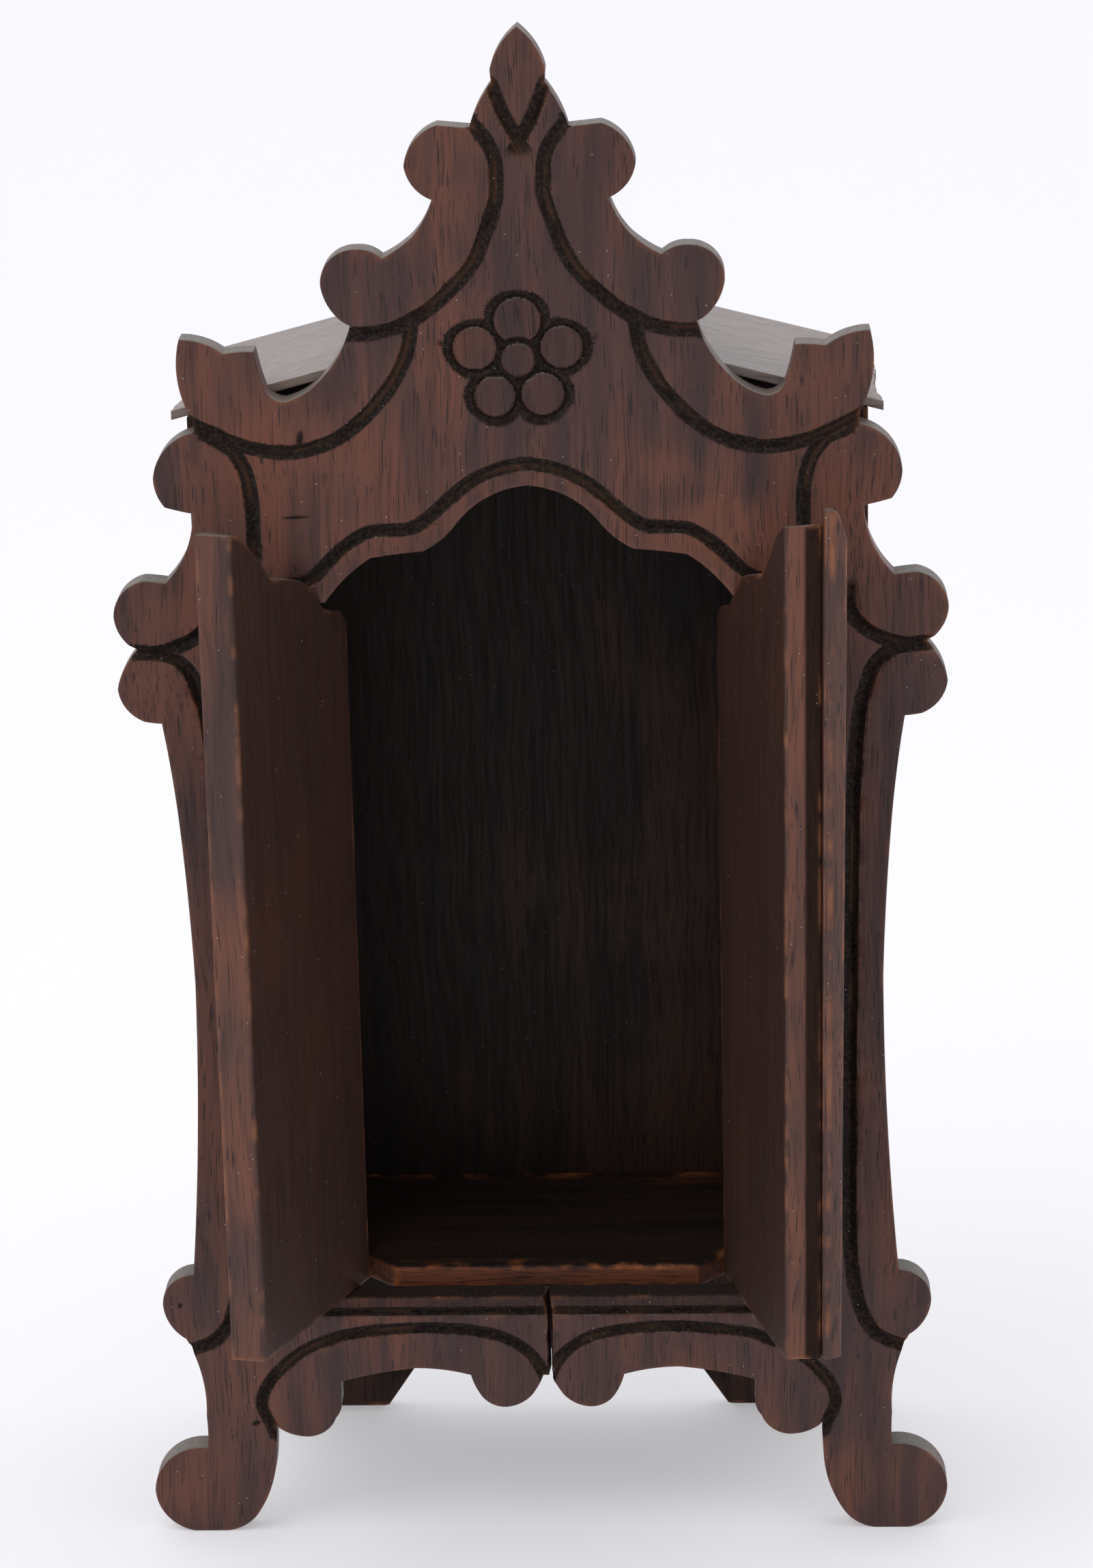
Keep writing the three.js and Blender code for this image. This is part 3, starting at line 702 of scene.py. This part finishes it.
def cover_strip(arris):
    """The strip stands on its section, then leans beyond the door's edge with its height."""
    width = DOORS["right"][2]
    a, b, c, d, e = ((-width - beyond, -out) for beyond, out in STRIP)
    front = [*eased(b, c, a, arris), (b[0] + 1.5, b[1]), *eased(a, b, e, arris)]
    back = [*eased(c, b, d, arris), d, *eased(e, d, a, arris)]
    counts = (1, 1, 2, 5, 1, 1)
    table = smooth_route(STRIP_TOP, 0.3)

    def top(flat):
        return np.interp(flat[:, 1], table[:, 0], table[:, 1])

    vertices, faces, values = board(
        spread(front, counts), spread(back, counts), level(DOOR_BOTTOM), top, arris, 6, 6
    )
    x, y, z = vertices.T
    height = (z - DOOR_BOTTOM) / (LEAN_TOP - DOOR_BOTTOM)
    out = STRIP_SPREAD * height * np.clip((-y - STRIP_FACE) / 1.2, 0, 1)
    return turned(np.c_[x - STRIP_LEAN * height, y - out, z], "right"), faces, values


def level(height):
    """A height that is the same all over a plan."""
    return lambda flat: np.full(len(flat), float(height))


def roof_under(flat):
    return RIDGE_Z - ROOF_FALL * np.abs(flat[:, 0]) - ROOF_DROP


def below_roof(flat):
    return roof_under(flat) - GAP


def back_low(flat):
    """The arch between the back board's feet, and their soles' slope up towards the inside."""
    foot = np.array(BACK_FOOT, float)
    arch = np.interp(flat[:, 0], foot[:, 0], foot[:, 1])
    return np.maximum(arch, (SOLE_EDGE_Y - flat[:, 1]) * SOLE_SLOPE)


def back_board(arris):
    """The back board, painted lighter and warmer to the lower right as light falling in through the
    doorway, darker to the upper left as painted shade, and warmer at its feet.
    """
    front, back = straight_board(-SIDE_OUTER, SIDE_OUTER, BACK_Y, BACK_Y + BOARD, arris, 120)
    vertices, faces, values = board(front, back, back_low, below_roof, arris, 8, 5)
    x, _, z = vertices.T
    # Painted light and shade: warmer and lighter to the lower right, darker to the upper left; warmer at
    # the feet
    values["warm"] = np.clip((x - 0.3 * (z - 150)) / 60, -1, 1) * (z > 30) + 1.0 * (z < 14)
    return vertices, faces, values


def side_board(side, arris):
    """A side board, which ends well above the ground."""
    x = sorted((side * SIDE_INNER, side * SIDE_OUTER))
    front, back = straight_board(*x, BOARD + GAP, BACK_Y - GAP, arris, 4)
    return board(front, back, level(SIDE_BOTTOM), below_roof, arris, 10, 12)


def floor_board(arris):
    """The floor has pared front corners, and its edges show the bare wood."""
    first, *middle, last = [np.array(p, float) for p in FLOOR_FRONT]
    back_y = BACK_Y - GAP
    front = [*eased(first, (first[0], back_y), middle[0], arris), *middle]
    front += eased(last, middle[-1], (last[0], back_y), arris)
    back = eased((first[0], back_y), first, (last[0], back_y), arris)
    back += [(p[0], back_y) for p in middle]
    back += eased((last[0], back_y), (first[0], back_y), last, arris)
    counts = (1, 1, 8, 6, 40, 6, 8, 1, 1)
    low, top = level(FLOOR_TOP - FLOOR_THICK), level(FLOOR_TOP)
    vertices, faces, values = board(spread(front, counts), spread(back, counts), low, top, arris, 2, 12)
    values["warm"] = np.clip((FLOOR_TOP - 0.3 - vertices[:, 2]) / 0.5, -0.5, 1)
    return vertices, faces, values


def roof_board(side, arris):
    """A roof board's chains run from front to back, along its broken eave and along the ridge."""
    y = np.linspace(BOARD + GAP, ROOF_BACK_Y, 150)
    table = np.array(EAVE, float)
    x = np.interp(y, table[:, 1], table[:, 0])
    points = np.c_[y, np.full(len(y), 7.0 * side)]
    broken = 0.5 * wobble(points, 2.3) + 0.35 * wobble(points, 5.9) - 0.3
    x = x + broken * np.sin(np.linspace(0, math.pi, len(y))) ** 0.3
    eave = np.c_[side * x, y]
    ridge = np.c_[np.full(len(y), side * GAP / 2), y]

    def top(flat):
        return RIDGE_Z - ROOF_FALL * np.abs(flat[:, 0])

    chains = (eave, ridge) if side > 0 else (ridge, eave)
    return board(*chains, roof_under, top, arris, 1, 30)


STEP = {"interpolation_type": "SMOOTHSTEP"}
COLOUR = {"data_type": "RGBA"}
PRODUCT = {"operation": "MULTIPLY"}


def add(tree, kind, inputs=(), out=0, **settings):
    """Adds a shader node and gives one of its outputs. Inputs are values or sockets to link."""
    node = tree.nodes.new("ShaderNode" + kind)
    for name, value in settings.items():
        setattr(node, name, value)
    for name, value in dict(inputs).items():
        if isinstance(value, bpy.types.NodeSocket):
            tree.links.new(value, node.inputs[name])
        else:
            node.inputs[name].default_value = value
    return node.outputs[out] if node.outputs else node


def wood(
    name, dark, middle, warm, pore, edge, grain=(1, 1, 0.06), roughness=0.5, pores=0.75, dust=0.5,
    worn=0.5, gloss=1.4, rim=None, inner=None, carved=None, root=None,
):
    """Old waxed hardwood, sawn along the grain: growth bands about 9 mm wide drift from violet brown
    to warm brown, dark open pores 0.3 mm wide and a few millimetres long follow the grain, arrises
    are worn to the bare orange wood, dust lies in specks, and whatever faces up is painted paler,
    partly for dust and partly as a painted sheen of the light from above."""
    material = bpy.data.materials.new(name)
    material.use_nodes = True
    material.node_tree.nodes.clear()
    node = partial(add, material.node_tree)
    position = node("TexCoord", out="Object")
    drift = node("TexNoise", {"Vector": position, "Scale": 11.0, "Detail": 2.0}, "Color")
    drift = node("VectorMath", {0: drift, 1: (0.5, 0.5, 0.5)}, operation="SUBTRACT")
    bent = node("VectorMath", {0: drift, 1: (0.012,) * 3, 2: position}, operation="MULTIPLY_ADD")
    along = node("Mapping", {"Vector": bent, "Scale": grain})
    finer = node("Mapping", {"Vector": bent, "Scale": tuple(g if g == 1 else g / 2 for g in grain)})

    bands = node("TexNoise", {"Vector": along, "Scale": 125.0, "Detail": 5.0, "Roughness": 0.6})
    tone = node("MapRange", {0: bands, 1: 0.28, 2: 0.7}, **STEP)
    tone = node("Mix", {0: tone, 6: linear(dark), 7: linear(middle)}, 2, **COLOUR)
    patches = node("TexNoise", {"Vector": position, "Scale": 17.0, "Detail": 2.0})
    patches = node("Math", {0: bands, 1: 0.6, 2: patches}, operation="MULTIPLY_ADD")
    thin = node("Attribute", out="Fac", attribute_name="warm")
    patches = node("Math", {0: thin, 1: 0.3, 2: patches}, operation="MULTIPLY_ADD")
    patches = node("MapRange", {0: patches, 1: 0.72, 2: 1.12, 4: 0.95}, **STEP)
    tone = node("Mix", {0: patches, 6: tone, 7: linear(warm)}, 2, **COLOUR)
    streaks = node("TexNoise", {"Vector": finer, "Scale": 800.0, "Detail": 3.0})
    share = node("MapRange", {0: streaks, 1: 0.5, 2: 0.7, 4: 0.5}, **STEP)
    tone = node("Mix", {0: share, 6: tone, 7: linear(dark)}, 2, **COLOUR)

    crowd = node("TexNoise", {"Vector": along, "Scale": 60.0})
    crowd = node("MapRange", {0: crowd, 1: 0.35, 2: 0.7, 4: 0.06}, **STEP)
    pit = node("TexNoise", {"Vector": finer, "Scale": 2300.0, "Detail": 0.0})
    pit = node("Math", {0: pit, 1: crowd}, operation="ADD")
    pit = node("MapRange", {0: pit, 1: 0.7, 2: 0.76}, **STEP)
    share = node("Math", {0: pit, 1: pores}, **PRODUCT)
    tone = node("Mix", {0: share, 6: tone, 7: linear(pore)}, 2, **COLOUR)

    if inner is not None:
        share = node("Attribute", out="Fac", attribute_name="inner")
        share = node("Math", {0: share, 1: 0.8}, **PRODUCT)
        tone = node("Mix", {0: share, 6: tone, 7: linear(inner)}, 2, **COLOUR)
    low, high = roughness - 0.06, roughness + 0.12
    shine = node("MapRange", {0: streaks, 1: 0.3, 2: 0.75, 3: low, 4: high}, **STEP)
    clean, mirror = 1.0, 0.5
    # The cut colours: dirt in the panel's cuts, painted shade on its sill, and painted shade on the
    # right door's free edge beside the strip
    if carved is not None:
        groove = node("Attribute", out="Fac", attribute_name="carve")
        clean = node("Math", {0: 1.0, 1: groove}, operation="SUBTRACT")
        scraped = node("TexNoise", {"Vector": position, "Scale": 900.0, "Detail": 3.0})
        grime_and_shade = node("MapRange", {0: scraped, 1: 0.4, 2: 0.7}, **STEP)
        grime_and_shade = node("Mix", {0: grime_and_shade, 6: linear(carved[0]), 7: linear(carved[1])}, 2, **COLOUR)
        tone = node("Mix", {0: groove, 6: tone, 7: grime_and_shade}, 2, **COLOUR)
        bare = node("TexNoise", {"Vector": position, "Scale": 60.0})
        bare = node("MapRange", {0: bare, 1: 0.42, 2: 0.66, 4: 0.6}, **STEP)
        share = node("Attribute", out="Fac", attribute_name="root")
        share = node("Math", {0: share, 1: bare}, **PRODUCT)
        tone = node("Mix", {0: share, 6: tone, 7: linear(root)}, 2, **COLOUR)
        shine = node("Math", {0: groove, 1: 0.3, 2: shine}, operation="MULTIPLY_ADD")
        mirror = node("Math", {0: groove, 1: -0.38, 2: 0.5}, operation="MULTIPLY_ADD")

    rubbed = node("TexNoise", {"Vector": position, "Scale": 90.0, "Detail": 4.0})
    rubbed = node("MapRange", {0: rubbed, 1: 0.45, 2: 0.7, 4: worn}, **STEP)
    share = node("Attribute", out="Fac", attribute_name="wear")
    share = node("Math", {0: share, 1: rubbed}, **PRODUCT)
    tone = node("Mix", {0: share, 6: tone, 7: linear(edge)}, 2, **COLOUR)

    # Faces that point up are mixed towards the rim colour: dust, and a painted sheen of the light from
    # above; the cuts are spared
    if rim is not None:
        up = node("SeparateXYZ", {0: node("NewGeometry", out="Normal")}, 2)
        dust_and_sheen = node("MapRange", {0: up, 1: 0.3, 2: 0.95, 4: 0.7}, **STEP)
        dust_and_sheen = node("Math", {0: dust_and_sheen, 1: clean}, **PRODUCT)
        tone = node("Mix", {0: dust_and_sheen, 6: tone, 7: linear(rim)}, 2, **COLOUR)
    cells = {"Vector": position, "Scale": 260.0}
    speck = node("MapRange", {0: node("TexVoronoi", cells), 1: 0.045, 2: 0.075, 3: dust, 4: 0.0}, **STEP)
    chosen = node("SeparateColor", {0: node("TexVoronoi", cells, "Color")})
    chosen = node("MapRange", {0: chosen, 1: 0.55, 2: 0.6}, **STEP)
    share = node("Math", {0: speck, 1: chosen}, **PRODUCT)
    tone = node("Mix", {0: share, 6: tone, 7: linear("#b9b0a8")}, 2, **COLOUR)

    relief = node("Math", {0: pit, 1: -1.0}, **PRODUCT)
    relief = node("Math", {0: streaks, 1: 0.35, 2: relief}, operation="MULTIPLY_ADD")
    bump = node("Bump", {"Strength": 0.6, "Distance": 0.00012, "Height": relief})
    surface = node("BsdfPrincipled", {
        "Base Color": tone, "Roughness": shine, "Normal": bump, "IOR": gloss,
        "Specular IOR Level": mirror,
    })
    node("OutputMaterial", {"Surface": surface})
    return material


def lit_sheet():
    """Matt white sheet that glows softly: painted light that keeps the shadow under the case pale."""
    material = bpy.data.materials.new("Pale glowing sheet")
    material.use_nodes = True
    inputs = material.node_tree.nodes["Principled BSDF"].inputs
    inputs["Base Color"].default_value = linear("#cfced1")
    inputs["Roughness"].default_value = 0.9
    # Painted light: the sheet glows to lighten the shadow under the case
    inputs["Emission Color"].default_value = linear("#fafafd")
    inputs["Emission Strength"].default_value = 0.36
    return material


CASE = "case"


class ORATORY_PG_sizes(bpy.types.PropertyGroup):
    """Sizes of the carving and the arrises"""

    groove_depth: FloatProperty(
        name="Groove Depth", description="Depth of the carved grooves at their root",
        default=0.0017, min=0.0005, max=0.003, unit="LENGTH",
    )
    soft_flank: FloatProperty(
        name="Soft Flank", description="Width of a groove's wide flank",
        default=0.0029, min=0.001, max=0.004, unit="LENGTH",
    )
    crisp_flank: FloatProperty(
        name="Crisp Flank", description="Width of a groove's steep flank",
        default=0.0021, min=0.0008, max=0.003, unit="LENGTH",
    )
    boss_radius: FloatProperty(
        name="Boss Radius", description="Radius of the flower's middle",
        default=0.0053, min=0.003, max=0.006, unit="LENGTH",
    )
    arris: FloatProperty(
        name="Arris", description="Radius to which the boards' edges are worn",
        default=0.0005, min=0.0002, max=0.001, unit="LENGTH",
    )


class ORATORY_OT_front(bpy.types.Operator):
    """Carve the front panel"""

    bl_idname = "oratory.front"
    bl_label = "Carved Front"

    def execute(self, context):
        # Violet brown, waxed by hand: a soft sheen over fine dark pores, black dirt in the cuts, painted
        # shade over a dark finish on the sill, orange wood where the finish has gone, up-facing faces
        # paler
        material = wood(
            "Waxed hardwood, carved", "#3a2624", "#50332d", "#6b3f2f", "#1a110e", "#8e5735",
            rim="#6f6c64", carved=("#1d1714", "#332a26"), root="#5b4030", roughness=0.46,
        )
        shape = carved_panel(context.scene.oratory_sizes)
        add_piece("carved_front", shape, CASE, "front_panel", material)
        return {"FINISHED"}


class ORATORY_OT_doors(bpy.types.Operator):
    """Make both doors and the strip on the right one"""

    bl_idname = "oratory.doors"
    bl_label = "Doors"

    def execute(self, context):
        arris = context.scene.oratory_sizes.arris * 1000
        # The same wax over plainer boards: browner and duller inside, orange on the touched arrises; the
        # cut colours paint the shade beside the strip
        leaf = wood(
            "Waxed hardwood, doors", "#3c2825", "#543831", "#6f4331", "#1a110e", "#9a6240",
            inner="#33201a", rim="#5f5951", roughness=0.46, worn=0.45,
            carved=("#150e0b", "#20150f"), root="#20150f",
        )
        # A moulded strip, rubbed by hands: redder and glossier than the door behind it
        strip = wood(
            "Waxed hardwood, strip", "#402b27", "#593d34", "#704636", "#1b120e", "#a8663c",
            rim="#5a4c42", roughness=0.42, worn=0.45,
        )
        for name in DOORS:
            shape, body = door_leaf(name, arris), f"{name}_leaf"
            add_piece(f"{name}_leaf_board", shape, body, f"{name}_door", leaf)
        add_piece("joint_strip", cover_strip(arris), "right_leaf", "cover_strip", strip)
        return {"FINISHED"}


class ORATORY_OT_case(bpy.types.Operator):
    """Make the floor, back and side boards of the case"""

    bl_idname = "oratory.case"
    bl_label = "Case"

    def execute(self, context):
        arris = context.scene.oratory_sizes.arris * 1000
        # Unwaxed boards, nearly black with a dull surface: dark wood, darkened further as painted shade
        # of the unlit interior
        upright = wood(
            "Bare hardwood, case", "#150e0b", "#21150f", "#38231a", "#0c0705", "#8f5833",
            rim="#4a4138", roughness=0.65, worn=0.5, gloss=1.3, dust=0.2,
        )
        # A planed floor board, its grain across: dark, partly as painted shade of the unlit interior,
        # with a bright orange arris at the front
        flat = wood(
            "Bare hardwood, floor", "#1e1510", "#2f1f18", "#6f3c25", "#0f0a08", "#b4693a",
            grain=(0.06, 1, 1), roughness=0.6, worn=0.95, gloss=1.35, dust=0.3,
        )
        made = {
            "back_board": (back_board(arris), "back_panel", upright),
            "left_case_side": (side_board(-1, arris), "left_side", upright),
            "right_case_side": (side_board(1, arris), "right_side", upright),
            "case_floor": (floor_board(2 * arris), "floor_board", flat),
        }
        for name, (shape, node, material) in made.items():
            add_piece(name, shape, CASE, node, material)
        return {"FINISHED"}


class ORATORY_OT_roof(bpy.types.Operator):
    """Make the two roof boards"""

    bl_idname = "oratory.roof"
    bl_label = "Roof"

    def execute(self, context):
        # Sawn boards painted pale grey with a faint brown cast: dust, and a painted sheen of the white
        # backdrop and the light above
        material = wood(
            "Dusty hardwood, painted sheen, roof", "#544a47", "#857b79", "#8b7765", "#2c2421", "#8a5f45",
            grain=(0.06, 1, 1), rim="#958d8b", roughness=0.5, pores=0.5,
        )
        for name, side in (("left_roof_slope", -1), ("right_roof_slope", 1)):
            node = name.replace("slope", "board")
            add_piece(name, roof_board(side, 0.35), CASE, node, material)
        return {"FINISHED"}


class ORATORY_OT_stage(bpy.types.Operator):
    """Set up the floor, the light and the camera"""

    bl_idname = "oratory.stage"
    bl_label = "Stage"

    def execute(self, context):
        scene = context.scene
        bpy.ops.mesh.primitive_plane_add(size=24, location=(0, 0, 0))
        ground = context.object
        ground.name = "ground"
        ground.data.materials.append(lit_sheet())

        world = bpy.data.worlds.new("Studio")
        world.use_nodes = True
        node = partial(add, world.node_tree)
        way = node("SeparateXYZ", {0: node("TexCoord", out="Generated")}, 1)
        strength = node("MapRange", {0: way, 1: -0.95, 2: -0.2, 3: 0.52, 4: 1.06}, **STEP)
        background = world.node_tree.nodes["Background"]
        background.inputs["Color"].default_value = linear("#fafafd")
        world.node_tree.links.new(strength, background.inputs["Strength"])
        scene.world = world
        light = bpy.data.lights.new("Key", "AREA")
        light.size, light.energy = 1.3, 9
        lamp = bpy.data.objects.new("Key", light)
        scene.collection.objects.link(lamp)
        spot, aim = np.array((-0.9, -0.8, 1.9)), np.array((0, 0, 0.25))
        lamp.location = spot
        lamp.rotation_euler = Matrix(looking(spot - aim)).to_euler()
        scene.view_settings.view_transform = "Standard"

        camera = bpy.data.objects.new("Camera", bpy.data.cameras.new("Camera"))
        scene.collection.objects.link(camera)
        camera.data.sensor_width, camera.data.lens = SENSOR, CAMERA_LENS
        yaw, pitch, roll = CAMERA_YAW, CAMERA_PITCH, CAMERA_ROLL
        flat = math.cos(pitch)
        ahead = np.array([math.sin(yaw) * flat, math.cos(yaw) * flat, -math.sin(pitch)])
        right = np.array([math.cos(yaw), -math.sin(yaw), 0])
        up = np.cross(right, ahead)
        c, s = math.cos(roll), math.sin(roll)
        right, up = c * right + s * up, c * up - s * right
        turn = Matrix(np.c_[right, up, -ahead].tolist()).to_4x4()
        camera.matrix_world = Matrix.Translation(place(CAMERA_PLACE)) @ turn
        camera.data.clip_start, camera.data.clip_end = 0.05, 50
        scene.camera = camera
        return {"FINISHED"}


def looking(back):
    """Axes of a lamp that shines against this way, which isn't upright."""
    back = back / np.linalg.norm(back)
    right = np.cross((0, 0, 1), back)
    right /= np.linalg.norm(right)
    return np.c_[right, np.cross(back, right), back].tolist()


class ORATORY_PT_panel(bpy.types.Panel):
    """Sizes and steps of the oratory"""

    bl_idname = "ORATORY_PT_panel"
    bl_label = "Household Oratory"
    bl_space_type = "VIEW_3D"
    bl_region_type = "UI"
    bl_category = "Oratory"

    def draw(self, context):
        for name in ORATORY_PG_sizes.__annotations__:
            self.layout.prop(context.scene.oratory_sizes, name)
        for operator in OPERATORS:
            self.layout.operator(operator.bl_idname)


OPERATORS = (ORATORY_OT_front, ORATORY_OT_doors, ORATORY_OT_case, ORATORY_OT_roof, ORATORY_OT_stage)
CLASSES = (ORATORY_PG_sizes, *OPERATORS, ORATORY_PT_panel)


def register():
    for kind in CLASSES:
        bpy.utils.register_class(kind)
    bpy.types.Scene.oratory_sizes = PointerProperty(type=ORATORY_PG_sizes)


def unregister():
    del bpy.types.Scene.oratory_sizes
    for kind in reversed(CLASSES):
        bpy.utils.unregister_class(kind)


def main():
    register()
    for operator in OPERATORS:
        group, name = operator.bl_idname.split(".")
        getattr(getattr(bpy.ops, group), name)()


if __name__ == "__main__":
    main()
